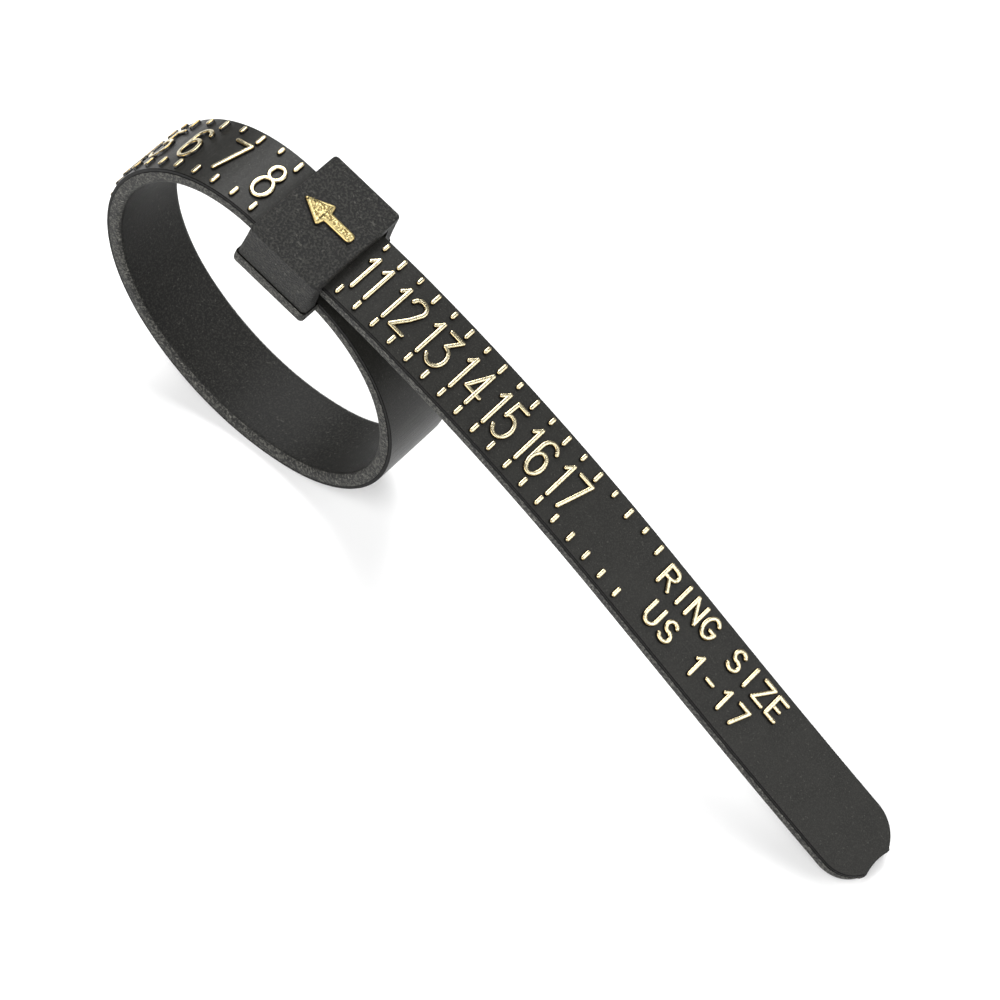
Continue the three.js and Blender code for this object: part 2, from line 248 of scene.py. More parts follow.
class Nodes:
    """A small helper that adds and links the nodes of one material."""

    def __init__(self, name):
        self.material = bpy.data.materials.new(name)
        self.material.use_nodes = True
        self.tree = self.material.node_tree
        self.shader = self.tree.nodes["Principled BSDF"]
        self.place = self.add("ShaderNodeAttribute", attribute_name="flat").outputs["Vector"]

    def add(self, kind, **settings):
        node = self.tree.nodes.new(kind)
        for key, value in settings.items():
            setattr(node, key, value)
        return node

    def link(self, source, target):
        self.tree.links.new(source, target)

    def noise(self, scale, detail=3.0, roughness=0.55, stretch=(1, 1, 1)):
        """Noise over the flat strip. scale is in turns per millimetre."""
        mapping = self.add("ShaderNodeMapping")
        mapping.inputs["Scale"].default_value = stretch
        self.link(self.place, mapping.inputs["Vector"])
        noise = self.add("ShaderNodeTexNoise")
        noise.inputs["Scale"].default_value = scale
        noise.inputs["Detail"].default_value = detail
        noise.inputs["Roughness"].default_value = roughness
        self.link(mapping.outputs["Vector"], noise.inputs["Vector"])
        return noise.outputs["Fac"]

    def spread(self, value, low, high, to_low, to_high):
        """Maps a value from one range to another and clamps it."""
        node = self.add("ShaderNodeMapRange")
        ends = {"From Min": low, "From Max": high, "To Min": to_low, "To Max": to_high}
        for socket, number in ends.items():
            node.inputs[socket].default_value = number
        self.link(value, node.inputs["Value"])
        return node.outputs["Result"]

    def mix(self, share, first, second):
        """A colour between two colours, by a share."""
        node = self.add("ShaderNodeMix", data_type="RGBA")
        self.link(share, node.inputs["Factor"])
        for socket, colour in (("A", first), ("B", second)):
            target = [s for s in node.inputs if s.name == socket and s.type == "RGBA"][0]
            if isinstance(colour, tuple):
                target.default_value = (*colour, 1)
            else:
                self.link(colour, target)
        return [s for s in node.outputs if s.type == "RGBA"][0]

    def times(self, first, second):
        node = self.add("ShaderNodeMath", operation="MULTIPLY")
        self.link(first, node.inputs[0])
        self.link(second, node.inputs[1])
        return node.outputs[0]

    def bump(self, height, depth, strength=1.0, after=None):
        """A bump depth millimetres deep."""
        node = self.add("ShaderNodeBump")
        node.inputs["Strength"].default_value = strength
        node.inputs["Distance"].default_value = depth * MM
        self.link(height, node.inputs["Height"])
        if after is not None:
            self.link(after, node.inputs["Normal"])
        return node.outputs["Normal"]


def grey(shade):
    """A black plastic's colour of one brightness, a touch warm."""
    return (shade, 0.98 * shade, 0.86 * shade)


def moulded_plastic(name, shades, roughness, grain, shine, streaks=0.0, contrast=3.0):
    """Black moulded plastic with a fine grain, faint clouds of colour and, on a smooth face,
    streaks across it. contrast is how much lighter the tops of the grain are."""
    nodes = Nodes(name)
    dark, light = (grey(shade) for shade in shades)
    grain_size, grain_depth = grain
    clouds = nodes.noise(0.6, detail=4)
    grain = nodes.noise(1 / grain_size, detail=2, roughness=0.6)
    specks = nodes.noise(0.6 / grain_size, detail=1)
    shade = nodes.mix(nodes.spread(clouds, 0.3, 0.7, 0, 1), dark, light)
    crest = tuple(contrast * part for part in light)
    grained = nodes.mix(nodes.spread(grain, 0.46, 0.62, 0, 1), shade, crest)
    fleck = tuple(2 * part for part in crest)
    flecked = nodes.mix(nodes.spread(specks, 0.68, 0.74, 0, 0.8), grained, fleck)
    nodes.link(flecked, nodes.shader.inputs["Base Color"])
    low, high = roughness
    normal = nodes.bump(grain, grain_depth)
    source = grain
    if streaks:
        source = nodes.noise(15, detail=4, roughness=0.7, stretch=(1, 0.03, 1))
        normal = nodes.bump(source, streaks, after=normal)
    nodes.link(nodes.spread(source, 0.3, 0.7, low, high), nodes.shader.inputs["Roughness"])
    nodes.link(normal, nodes.shader.inputs["Normal"])
    nodes.shader.inputs["IOR"].default_value = 1.5
    nodes.shader.inputs["Specular IOR Level"].default_value = shine
    return nodes.material


def pressed_foil(name, crown_highlight, deep, wear, roughness):
    """Metallic foil on the top of a raised plastic mark. Its colour runs from a darker gold low on
    the mark, gold with painted shade, to a painted cream highlight on the crown. It thins out down
    the mark's sides, where the black plastic shows, near black as painted shade, and it is worn
    where the mottling lies above wear's range."""
    nodes = Nodes(name)
    rise = nodes.add("ShaderNodeAttribute", attribute_name="rise").outputs["Fac"]
    ragged = nodes.noise(14, detail=3)
    reach = nodes.add("ShaderNodeMath", operation="MULTIPLY_ADD")
    reach.inputs[1].default_value = 0.35
    nodes.link(ragged, reach.inputs[0])
    nodes.link(rise, reach.inputs[2])
    covered = nodes.spread(reach.outputs[0], 0.9, 0.96, 0, 1)
    mottle = nodes.noise(9, detail=4, roughness=0.7)
    inside = nodes.spread(rise, 0.94, 0.99, 0, 1)
    patches = nodes.times(nodes.spread(mottle, *wear, 0, 0.9), inside)
    # Painted highlight and shade: the foil's colour goes from the darker gold to the cream highlight up
    # the mark.
    foil = nodes.mix(nodes.spread(rise, 0.82, 0.97, 0, 1), deep, crown_highlight)
    worn = nodes.mix(patches, foil, tuple(0.3 * part for part in deep))
    # Where the foil gives out, the mark's black sides are near black, darker than the strip's face:
    # painted shade.
    nodes.link(nodes.mix(covered, grey(0.004), worn), nodes.shader.inputs["Base Color"])
    nodes.link(covered, nodes.shader.inputs["Metallic"])
    low, high = roughness
    nodes.link(nodes.spread(mottle, 0.3, 0.7, low, high), nodes.shader.inputs["Roughness"])
    nodes.link(nodes.bump(mottle, 0.012), nodes.shader.inputs["Normal"])
    return nodes.material


FACE = moulded_plastic(
    "strip_face", (0.010, 0.014), (0.34, 0.48), (0.08, 0.003), 0.2, streaks=0.008, contrast=1.4
)
# A near-black copy of the black plastic, painted shade: the dark lines along the strip's edge round and
# parting groove, and on the floor plate's top beside the hood's foot.
EDGE_SHADE_PLASTIC = moulded_plastic("strip_edge_painted_shade", (0.001, 0.002), (0.40, 0.50), (0.09, 0.003), 0.1)
LEDGE = moulded_plastic("strip_ledge", (0.004, 0.009), (0.6, 0.8), (0.14, 0.06), 0.35, contrast=8.0)
INNER = moulded_plastic("strip_inner", (0.003, 0.006), (0.5, 0.65), (0.12, 0.015), 0.2)
HOOD = moulded_plastic("buckle_grain", (0.002, 0.004), (0.5, 0.7), (0.14, 0.07), 0.28, contrast=7.0)
# Each foil's first colour is a painted cream highlight for the crown, its second a darker gold with
# painted shade for lower down.
FOIL = pressed_foil("gold_foil", (0.66, 0.59, 0.40), (0.34, 0.22, 0.06), (0.56, 0.7), (0.12, 0.24))
ARROW_FOIL = pressed_foil(
    "gold_foil_worn", (0.74, 0.62, 0.30), (0.26, 0.16, 0.04), (0.4, 0.52), (0.24, 0.4)
)
STRIP_MATERIALS = [FACE, EDGE_SHADE_PLASTIC, LEDGE, INNER]

# ---- The strip ----


def edge_profile():
    """The strip's edge from its outer face to its inner face, as rows of how far in from the
    widest place, height, and material slot of the piece that follows."""
    rows = []
    edge = 0.05
    # Slot 1, the near-black plastic, paints shade down the edge round and into the parting groove.
    for angle in (90, 60, 30, 0):
        reach = math.radians(angle)
        inset = FACE_INSET + edge * (1 - math.cos(reach))
        rows.append((inset, HALF_THICK - edge * (1 - math.sin(reach)), 1))
    rows.append((FACE_INSET, PARTING + 0.02, 1))
    rows.append((FACE_INSET + 0.03, PARTING, 1))
    rows.append((0.02, PARTING - 0.02, 2))
    rows.append((0.0, PARTING - 0.04, 2))
    for angle in (0, 15, 30, 45, 60, 75, 90):
        reach = math.radians(angle)
        inset = INNER_ROUND * (1 - math.cos(reach))
        height = INNER_ROUND - HALF_THICK - INNER_ROUND * math.sin(reach)
        rows.append((inset, height, 2 if angle < 60 else 3))
    return rows


PROFILE = edge_profile()
FACE_COLUMNS = 6


def section():
    """The strip's whole section as a closed loop of (y, z), with the material slot after each."""
    points = []
    edge_y = HALF_WIDTH - PROFILE[0][0]
    for y in np.linspace(-edge_y, edge_y, FACE_COLUMNS + 1)[:-1]:
        points.append((y, HALF_THICK, 0))
    points += [(HALF_WIDTH - inset, height, slot) for inset, height, slot in PROFILE]
    low_y = HALF_WIDTH - PROFILE[-1][0]
    for y in np.linspace(low_y, -low_y, FACE_COLUMNS + 1)[1:-1]:
        points.append((y, -HALF_THICK, 3))
    mirrored = [(inset - HALF_WIDTH, height, slot) for inset, height, slot in PROFILE[::-1]]
    slots = [slot for inset, height, slot in PROFILE[:-1]][::-1] + [1]
    points += [(y, height, slot) for (y, height, _), slot in zip(mirrored, slots)][:-1]
    return points


SECTION = section()


def section_normals():
    """The outward normal at each point of the section, led by its longer neighbour."""
    points = np.array([(y, z) for y, z, _ in SECTION])
    ahead = np.roll(points, -1, axis=0) - points
    behind = points - np.roll(points, 1, axis=0)
    # The faces nearest a point count by their length squared, so flats stay flat.
    weight_ahead = (ahead**2).sum(1, keepdims=True)
    weight_behind = (behind**2).sum(1, keepdims=True)
    turn = ahead * weight_ahead + behind * weight_behind
    normal = np.stack([-turn[:, 1], turn[:, 0]], axis=1)
    return normal / np.linalg.norm(normal, axis=1, keepdims=True)


SECTION_NORMALS = section_normals()
STEP = 0.25


def strip_piece(name, start, end):
    """A run of the strip between two distances, open at both ends, where its neighbours go on."""
    stations = np.linspace(start, end, max(2, round((end - start) / STEP) + 1))
    rows, columns = len(stations), len(SECTION)
    flat = np.array([(s, y, z) for s in stations for y, z, _ in SECTION])
    faces = [face[::-1] for face in grid_faces(rows, columns, closed_columns=True)]
    slots = [SECTION[column][2] for row in range(rows - 1) for column in range(columns)]
    made = make_mesh(name, wrap(flat), faces, flat, STRIP_MATERIALS, slots)
    heading = route_at(flat[:, 0])[2]
    across = np.tile(SECTION_NORMALS, (rows, 1))
    normals = np.stack(
        [-across[:, 1] * np.sin(heading), across[:, 0], across[:, 1] * np.cos(heading)], axis=1
    )
    made.data.normals_split_custom_set_from_vertices([tuple(n) for n in normals @ TURN.T])
    return made


def link_end(index):
    """The distance along the strip where a link ends. Link 1 starts at the root stub."""
    return MOUTH_HINGE - (LINK_COUNT - index) * SIZE_PITCH


BENDS = sorted(int(name.split("_")[1]) for name in JOINTS if name.startswith("flex_"))
MOUTH_REACH = 3.0


def bend_zones():
    """The runs of the strip that bend across each hinge: where each starts and ends, and the
    bodies on both sides of its hinge. Past the last one, the strip rides on the tail."""
    hinges = [link_end(index) for index in BENDS]
    middles = [(low + high) / 2 for low, high in zip(hinges, hinges[1:])]
    edges = [STUB_END, *middles, hinges[-1] + MOUTH_REACH]
    bodies = [f"bend_{index:02d}" for index in BENDS] + ["tail"]
    return list(zip(edges, edges[1:], bodies, bodies[1:]))


ZONES = bend_zones()
TAIL_START = ZONES[-1][1]


def follow_strip(made, distance):
    """Lets a piece past the last bend zone ride on the tail; a piece on the loop is baked in place."""
    for start, end, before, after in ZONES:
        if distance < end:
            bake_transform(made)
            return
    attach(made, "tail")


def build_loop():
    """The strip's loop. Each piece spans one hinge, from the middle of one body to the
    middle of the next, and is baked in place."""
    link = 1
    for (start, end, _, _), bend in zip(ZONES, BENDS):
        piece = strip_piece(f"strip_bend_{bend:02d}", start, end)
        follow_strip(piece, (start + end) / 2)
        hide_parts(*[f"band_link_{index:02d}" for index in range(link, bend + 1)])
        link = bend + 1


def tip_reach(y):
    """How far the strip reaches at a place across it: a round end, with the hollow of the
    snapped-off gate and a small spur at each side of it."""
    y = np.abs(np.asarray(y, float))
    beyond = np.clip(y - TIP_CENTRE_Y, 0, TIP_RADIUS)
    rounded = TIP_CENTRE + np.sqrt(TIP_RADIUS**2 - beyond**2)
    hollow = STRIP_END - NOTCH_DEPTH * (1 - (y / NOTCH_HALF_WIDTH) ** 2)
    ramp = np.clip((y - NOTCH_HALF_WIDTH) / SPUR_RAMP, 0, 1)
    spur = STRIP_END + (rounded - STRIP_END) * ramp * ramp * (3 - 2 * ramp)
    return np.where(y <= NOTCH_HALF_WIDTH, hollow, spur)


def build_tail():
    """The straight run of the strip from its last bend to where the tip starts to round, then
    the tip: both faces as a net of columns, and the strip's edge swept round the outline."""
    straight = strip_piece("strip_tail", TAIL_START, TIP_CENTRE)
    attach(straight, "tail")
    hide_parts("band_tail")

    angles = np.linspace(-math.pi / 2, math.pi / 2, 81)
    y = HALF_WIDTH * np.sin(angles)
    outline = np.stack([tip_reach(y), y], axis=1)
    outline[0, 0] = outline[-1, 0] = TIP_CENTRE
    tangent = np.gradient(outline, axis=0)
    outward = np.stack([tangent[:, 1], -tangent[:, 0]], axis=1)
    outward /= np.linalg.norm(outward, axis=1, keepdims=True)
    outward[0], outward[-1] = (0, -1), (0, 1)
    insets = np.array([(inset, height) for inset, height, _ in PROFILE])
    rim = outline[:, None, :] - outward[:, None, :] * insets[None, :, :1]
    rim[:, :, 0] = np.maximum(rim[:, :, 0], TIP_CENTRE)
    heights = np.tile(insets[:, 1], (len(y), 1))[:, :, None]
    rim_flat = np.concatenate([rim, heights], axis=2)
    columns = len(PROFILE)
    flat = rim_flat.reshape(-1, 3)
    faces = grid_faces(len(y), columns)
    slots = [PROFILE[column][2] for row in range(len(y) - 1) for column in range(columns - 1)]
    for edge, slot in ((0, 0), (columns - 1, 3)):
        ends = rim_flat[:, edge]
        rows = 12
        net = [
            (TIP_CENTRE + (end[0] - TIP_CENTRE) * row / rows, end[1], end[2])
            for row in range(rows + 1)
            for end in ends
        ]
        first = len(flat)
        flat = np.vstack([flat, net])
        added = [tuple(first + i for i in face) for face in grid_faces(rows + 1, len(ends))]
        faces += added
        slots += [slot] * len(added)
    tip = make_mesh("strip_tip", wrap(flat), faces, flat, STRIP_MATERIALS, slots)
    weld(tip, reach=2e-3)
    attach(tip, "tail")


# ---- Raised marks ----

STROKE = 0.29
MARK_HEIGHT = 0.2
MARK_SINK = 0.12
# Half of a stroke's section, from its middle outward: share of its half width, share of its
# height, and how far down it reaches under the strip's face.
STROKE_SECTION = [
    (0, 1.0, 0),
    (0.35, 0.99, 0),
    (0.6, 0.95, 0),
    (0.78, 0.86, 0),
    (0.9, 0.7, 0),
    (1.0, 0.4, 0),
    (1.08, 0, 1),
]
CAP_STEPS = 8


def line(*points):
    return np.array(points, float)


def oval(x, y, rx, ry, start, end, steps=None):
    """Points along an ellipse from one angle to another, in degrees."""
    steps = steps or max(4, round(abs(end - start) / 12))
    angles = np.radians(np.linspace(start, end, steps + 1))
    return np.stack([x + rx * np.cos(angles), y + ry * np.sin(angles)], axis=1)


def chain(*parts):
    """One smooth stroke through several runs of points."""
    points = np.vstack(parts)
    keep = np.ones(len(points), bool)
    keep[1:] = np.linalg.norm(np.diff(points, axis=0), axis=1) > 1e-6
    return points[keep]


def ridge(points, radius, height):
    """A raised stroke with a crowned top and round ends, in strip coordinates.
    Returns its vertices, faces, and how far up the stroke each vertex is."""
    closed = np.linalg.norm(points[0] - points[-1]) < 1e-6
    if closed:
        points = points[:-1]
        tangent = np.roll(points, -1, axis=0) - np.roll(points, 1, axis=0)
    else:
        tangent = np.gradient(points, axis=0)
    tangent = tangent / np.linalg.norm(tangent, axis=1, keepdims=True)
    left = np.stack([-tangent[:, 1], tangent[:, 0]], axis=1)

    def turned(direction, angle):
        c, s = math.cos(angle), math.sin(angle)
        return np.array([c * direction[0] - s * direction[1], s * direction[0] + c * direction[1]])

    if closed:
        loops = [list(zip(points, left)), list(zip(points, -left))]
    else:
        caps = [-math.pi * step / CAP_STEPS for step in range(1, CAP_STEPS)]
        around = list(zip(points, left))
        around += [(points[-1], turned(left[-1], angle)) for angle in caps]
        around += list(zip(points[::-1], -left[::-1]))
        around += [(points[0], turned(-left[0], angle)) for angle in caps]
        loops = [around]
    vertices, faces, rise = [], [], []
    columns = len(STROKE_SECTION)
    for loop in loops:
        first = len(vertices)
        for centre, direction in loop:
            for offset, share, sunk in STROKE_SECTION:
                at = centre + direction * radius * offset
                vertices.append((at[0], at[1], HALF_THICK + height * share - MARK_SINK * sunk))
                rise.append(share)
        grid = grid_faces(len(loop), columns, closed_rows=True)
        faces += [tuple(first + i for i in face) for face in grid]
    return vertices, faces, rise


def raised_mark(name, strokes, node=None):
    """A mark made of strokes, each a hair lower than the last so that no two tops coincide."""
    flat, faces, rise = [], [], []
    for order, stroke in enumerate(strokes):
        scale = 1 - 0.02 * (order % 3)
        more, more_faces, more_rise = ridge(stroke, STROKE / 2 * scale, MARK_HEIGHT * scale)
        faces += [tuple(len(flat) + i for i in face) for face in more_faces]
        flat += more
        rise += more_rise
    made = make_mesh(name, wrap(np.array(flat)), faces, flat, [FOIL], rise=rise)
    weld(made)
    follow_strip(made, np.mean([point[0] for point in flat]))
    if node:
        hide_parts(node)


# Digits stand in a box W wide and H high, measured between the middles of their strokes.
W = 0.9
H = 2.34
DIGIT_BASE = -1.22
LABEL_SINGLE = 0.36
LABEL_UNITS = 0.58
TENS_STEM = 0.04
ELEVEN_STEMS = (0.3, 1.25)

DIGITS = {
    "0": [oval(W / 2, H / 2, W / 2, H / 2, 0, 360)],
    "1": [
        line((W / 2, 0), (W / 2, H)),
        line((W / 2 - 0.3, H - 0.42), (W / 2 - 0.12, H - 0.2), (W / 2, H)),
    ],
    "2": [
        chain(oval(W / 2, H - 0.48, W / 2, 0.48, 168, -30), line((W * 0.62, 0.95), (0, 0))),
        line((0, 0), (W, 0)),
    ],
    "3": [
        line((0.02, H), (W - 0.04, H)),
        line((W - 0.04, H), (W * 0.38, 1.44)),
        chain(line((W * 0.38, 1.44)), oval(W * 0.4, 0.72, W * 0.6, 0.72, 88, -150)),
    ],
    "4": [
        line((W * 0.75, 0), (W * 0.75, H)),
        line((W * 0.75, H), (0, 0.78)),
        line((0, 0.78), (W + 0.1, 0.78)),
    ],
    "5": [
        line((W - 0.08, H), (0.12, H)),
        line((0.12, H), (0.06, 1.3)),
        oval(W * 0.42, 0.76, W * 0.58, 0.76, 130, -150),
    ],
    "6": [
        oval(W / 2, 0.72, W / 2, 0.72, 0, 360),
        chain(line((0, 0.72), (0, 1.2)), oval(W / 2 + 0.02, H - 0.62, W / 2 + 0.02, 0.62, 180, 25)),
    ],
    "7": [line((0, H), (W, H)), line((W, H), (W * 0.32, 0))],
    "8": [oval(W / 2, 0.68, W / 2, 0.68, 0, 360), oval(W / 2, H - 0.49, W * 0.4, 0.49, 0, 360)],
    "9": [
        oval(W / 2, H - 0.72, W / 2, 0.72, 0, 360),
        chain(line((W, H - 0.72), (W, 1.14)), oval(W / 2 - 0.02, 0.62, W / 2 + 0.02, 0.62, 0, -155)),
    ],
}


def size_labels():
    """The numerals, each counted from the tick of the half size before it."""
    for size in range(FIRST_SIZE, LAST_LABEL + 1):
        tick = strip_length(size - 0.5)
        digits = str(size)
        if len(digits) == 1:
            places = [(tick + LABEL_SINGLE, "")]
        else:
            stems = ELEVEN_STEMS if size == 11 else (TENS_STEM, LABEL_UNITS + W / 2)
            places = [(tick + stem - W / 2, end) for stem, end in zip(stems, ("_tens", "_units"))]
        for digit, (left, end) in zip(digits, places):
            strokes = [stroke + (left, DIGIT_BASE) for stroke in DIGITS[digit]]
            node = f"numeral_{size:02d}{end}"
            raised_mark(f"size_{size:02d}{end}", strokes, node)


TICK_LONG = 0.82
TICK_SHORT = 0.57
TICK_LOWER = 0.75
TICK_EDGE = 0.22
FACE_EDGE = HALF_WIDTH - FACE_INSET


def ticks():
    """A tick at every half size on both edges of the strip, gathered by the run they lie on."""
    groups = {}
    for half in range(2 * FIRST_SIZE, 2 * LAST_TICK + 1):
        along = strip_length(half / 2)
        top = FACE_EDGE - TICK_EDGE - STROKE / 2
        upper = (TICK_LONG if half % 2 == 0 else TICK_SHORT) - STROKE
        run = sum(along > end for start, end, before, after in ZONES)
        strokes = groups.setdefault(run, [])
        strokes.append(line((along, top - upper), (along, top)))
        strokes.append(line((along, -top), (along, TICK_LOWER - STROKE - top)))
    for run, strokes in groups.items():
        raised_mark(f"ticks_{run + 1}", strokes)


# Capital letters for the tail's generic wording, in a box CW wide and CH high.
CW = 0.86
CH = 1.3
LETTERS = {
    "R": [
        line((0, 0), (0, CH)),
        chain(
            line((0, CH), (CW * 0.5, CH)),
            oval(CW * 0.5, CH * 0.75, CW * 0.42, CH * 0.25, 80, -80),
            line((CW * 0.5, CH * 0.5), (0, CH * 0.5)),
        ),
        line((CW * 0.45, CH * 0.5), (CW * 0.95, 0)),
    ],
    "I": [line((CW / 2, 0), (CW / 2, CH))],
    "N": [line((0, 0), (0, CH)), line((0, CH), (CW * 0.9, 0)), line((CW * 0.9, 0), (CW * 0.9, CH))],
    "G": [
        chain(oval(CW / 2, CH / 2, CW / 2, CH / 2, 45, 350)),
        line((CW * 0.98, CH * 0.42), (CW * 0.58, CH * 0.42)),
    ],
    "S": [
        chain(
            oval(CW * 0.46, CH * 0.74, CW * 0.38, CH * 0.26, 35, 265),
            oval(CW * 0.46, CH * 0.25, CW * 0.42, CH * 0.25, 85, -150),
        )
    ],
    "Z": [line((0, CH), (CW * 0.9, CH)), line((CW * 0.9, CH), (0, 0)), line((0, 0), (CW * 0.9, 0))],
    "E": [
        line((0, 0), (0, CH)),
        line((0, CH), (CW * 0.8, CH)),
        line((0, CH / 2), (CW * 0.65, CH / 2)),
        line((0, 0), (CW * 0.8, 0)),
    ],
    "U": [
        chain(
            line((0, CH), (0, CH * 0.4)),
            oval(CW * 0.45, CH * 0.35, CW * 0.45, CH * 0.35, 180, 360),
            line((CW * 0.9, CH * 0.4), (CW * 0.9, CH)),
        )
    ],
    "-": [line((CW * 0.15, CH / 2), (CW * 0.7, CH / 2))],
    "1": [line((CW / 2, 0), (CW / 2, CH)), line((CW / 2 - 0.26, CH - 0.28), (CW / 2, CH))],
    "7": [line((0, CH), (CW * 0.85, CH)), line((CW * 0.85, CH), (CW * 0.3, 0))],
}
UPPER_LINE = ("RING SIZE", 1.1, 0.58, 1.16)  # wording, start past the last tick, base, pitch
LOWER_LINE = ("US 1-17", 1.9, -1.55, 1.2)


def wording():
    """Two lines of generic wording past the last tick."""
    for order, (text, start, base, pitch) in enumerate((UPPER_LINE, LOWER_LINE)):
        for place, letter in enumerate(text):
            if letter == " ":
                continue
            left = strip_length(LAST_TICK) + start + place * pitch
            strokes = [stroke + (left, base) for stroke in LETTERS[letter]]
            raised_mark(f"wording_{order}_{place}", strokes)


# ---- The buckle ----

CORNER = 0.25  # the roundness of the buckle's upright edges
ROOF_EDGE = 0.12  # the roundness round the roof
HOOD_FOOT = PARTING + 0.14
HOLLOW = 1.8  # above 1, the walls are hollow-ground: steep at the top and flared at the foot
WALL_STEPS = 8
RIM = 0.06  # how rough and worn the floor plate's rim is


def rounded_ring(length, width, corner, across=0.0, steps=5):
    """The plan of a rectangle with rounded corners, centred on the buckle or moved across it."""
    points = []
    for turn, (sx, sy) in enumerate(((1, 1), (-1, 1), (-1, -1), (1, -1))):
        for step in range(steps + 1):
            angle = math.radians(90 * turn + 90 * step / steps)
            x = sx * (length / 2 - corner) + corner * math.cos(angle)
            y = sy * (width / 2 - corner) + corner * math.sin(angle)
            points.append((x + FLOOR_CENTRE, y + across))
    return points


def lofted_block(name, rings, materials, slots):
    """A block lofted through plan rings, closed at both ends. A ring is its height and what
    rounded_ring takes."""
    flat = []
    for height, *plan in rings:
        flat += [(x, y, height) for x, y in rounded_ring(*plan)]
    columns = len(flat) // len(rings)
    faces = grid_faces(len(rings), columns, closed_columns=True)
    face_slots = [slots[row] for row in range(len(rings) - 1) for column in range(columns)]
    faces.append(tuple(range(columns))[::-1])
    faces.append(tuple(range(len(flat) - columns, len(flat))))
    face_slots += [slots[0], slots[-1]]
    made = make_mesh(name, to_row(flat), faces, flat, materials, face_slots)
    return weld(made)


def cut(made, cutter):
    """Cuts one mesh out of another for good."""
    modifier = made.modifiers.new("cut", "BOOLEAN")
    modifier.object = cutter
    modifier.operation = "DIFFERENCE"
    modifier.solver = "EXACT"
    finished = bpy.data.meshes.new_from_object(
        made.evaluated_get(bpy.context.evaluated_depsgraph_get())
    )
    made.modifiers.clear()
    made.data = finished
    bpy.data.objects.remove(cutter)


def build_buckle():
    """The hood over the slot, the floor plate with its rough rim, and the root of the strip."""
    hood_rings = [(HOOD_FOOT - 0.2, FLOOR_LENGTH - 0.2, FLOOR_WIDTH - 0.24, CORNER)]
    base_length, base_width = FLOOR_LENGTH - 0.13, FLOOR_WIDTH - 0.17
    top_length, top_width = FLOOR_LENGTH - 0.29, FLOOR_WIDTH - 0.27
    for share in np.linspace(0, 1, WALL_STEPS + 1)[:-1]:
        rise = 1 - (1 - share) ** HOLLOW
        length = base_length + (top_length - base_length) * rise
        width = base_width + (top_width - base_width) * rise
        height = HOOD_FOOT + (HOOD_TOP - ROOF_EDGE - HOOD_FOOT) * share
        hood_rings.append((height, length, width, CORNER, FAR_LEAN * share))
    for angle in (0, 30, 60, 90):
        reach = math.radians(angle)
        inset = 2 * ROOF_EDGE * (1 - math.cos(reach))
        height = HOOD_TOP - ROOF_EDGE * (1 - math.sin(reach))
        corner = CORNER - inset / 3
        hood_rings.append((height, top_length - inset, top_width - inset, corner, FAR_LEAN))
    hood = lofted_block("buckle_shell", hood_rings, [HOOD], [0] * (len(hood_rings) - 1))
    slot_top = HOOD_TOP - ROOF
    half = FLOOR_LENGTH
    corners = [
        (FLOOR_CENTRE + sx * half, sy * SLOT_WIDTH / 2, z)
        for z in (0, slot_top)
        for sx, sy in ((1, 1), (-1, 1), (-1, -1), (1, -1))
    ]
    slot_faces = [(0, 1, 2, 3), (7, 6, 5, 4), (0, 4, 5, 1), (1, 5, 6, 2), (2, 6, 7, 3), (3, 7, 4, 0)]
    cutter = make_mesh("slot_cutter", to_row(corners), slot_faces, corners, [HOOD])
    weld(cutter)
    cut(hood, cutter)
    for polygon in hood.data.polygons:
        polygon.use_smooth = False
    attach(hood, "buckle")
    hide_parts("buckle_hood")

    floor_rings = [
        (height, FLOOR_LENGTH - inset * RIM, FLOOR_WIDTH - inset * RIM, corner)
        for height, inset, corner in (
            (-HALF_THICK, 4, 0.2),
            (0.1 - HALF_THICK, 1, 0.24),
            (0.25 - HALF_THICK, 0, CORNER),
            (HOOD_FOOT - 0.1, 0, CORNER),
            (HOOD_FOOT - 0.06, 0.5, CORNER),
            (HOOD_FOOT - 0.06, 2, CORNER),
            (HOOD_FOOT - 0.12, 5, 0.22),
        )
    ]
    # The floor plate's top beside the hood's foot takes the near-black plastic as painted shade.
    floor = lofted_block("buckle_floor", floor_rings, [LEDGE, EDGE_SHADE_PLASTIC], [0, 0, 0, 0, 1, 1])
    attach(floor, "buckle")
    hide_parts("buckle_base")
    root = strip_piece("strip_root", FLOOR_CENTRE, STUB_END)
    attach(root, "buckle")


ARROW_TIP = 0.66
ARROW_ACROSS = 0.3
ARROW_LENGTH = 3.54
ARROW_HEAD = 1.72
ARROW_HEAD_WIDTH = 1.72
ARROW_SHAFT = 0.64
ARROW_BARB = 0.12  # how far the head's corners lie ahead of its neck
ARROW_ROUNDS = {"point": 0.07, "barb": 0.16, "neck": 0.14, "end": 0.29}


def rounded_outline(corners, steps=5):
    """A closed outline through corners of (x, y, radius), each rounded to its radius."""
    points = []
    count = len(corners)
    for i, (x, y, radius) in enumerate(corners):
        corner = np.array([x, y])
        before = np.array(corners[i - 1][:2]) - corner
        after = np.array(corners[(i + 1) % count][:2]) - corner
        before /= np.linalg.norm(before)
        after /= np.linalg.norm(after)
        opening = math.acos(np.clip(before @ after, -1, 1))
        cutback = radius / math.tan(opening / 2)
        first, last = corner + before * cutback, corner + after * cutback
        for share in np.linspace(0, 1, steps + 1):
            points.append((1 - share) ** 2 * first + 2 * share * (1 - share) * corner + share**2 * last)
    return np.array(points)


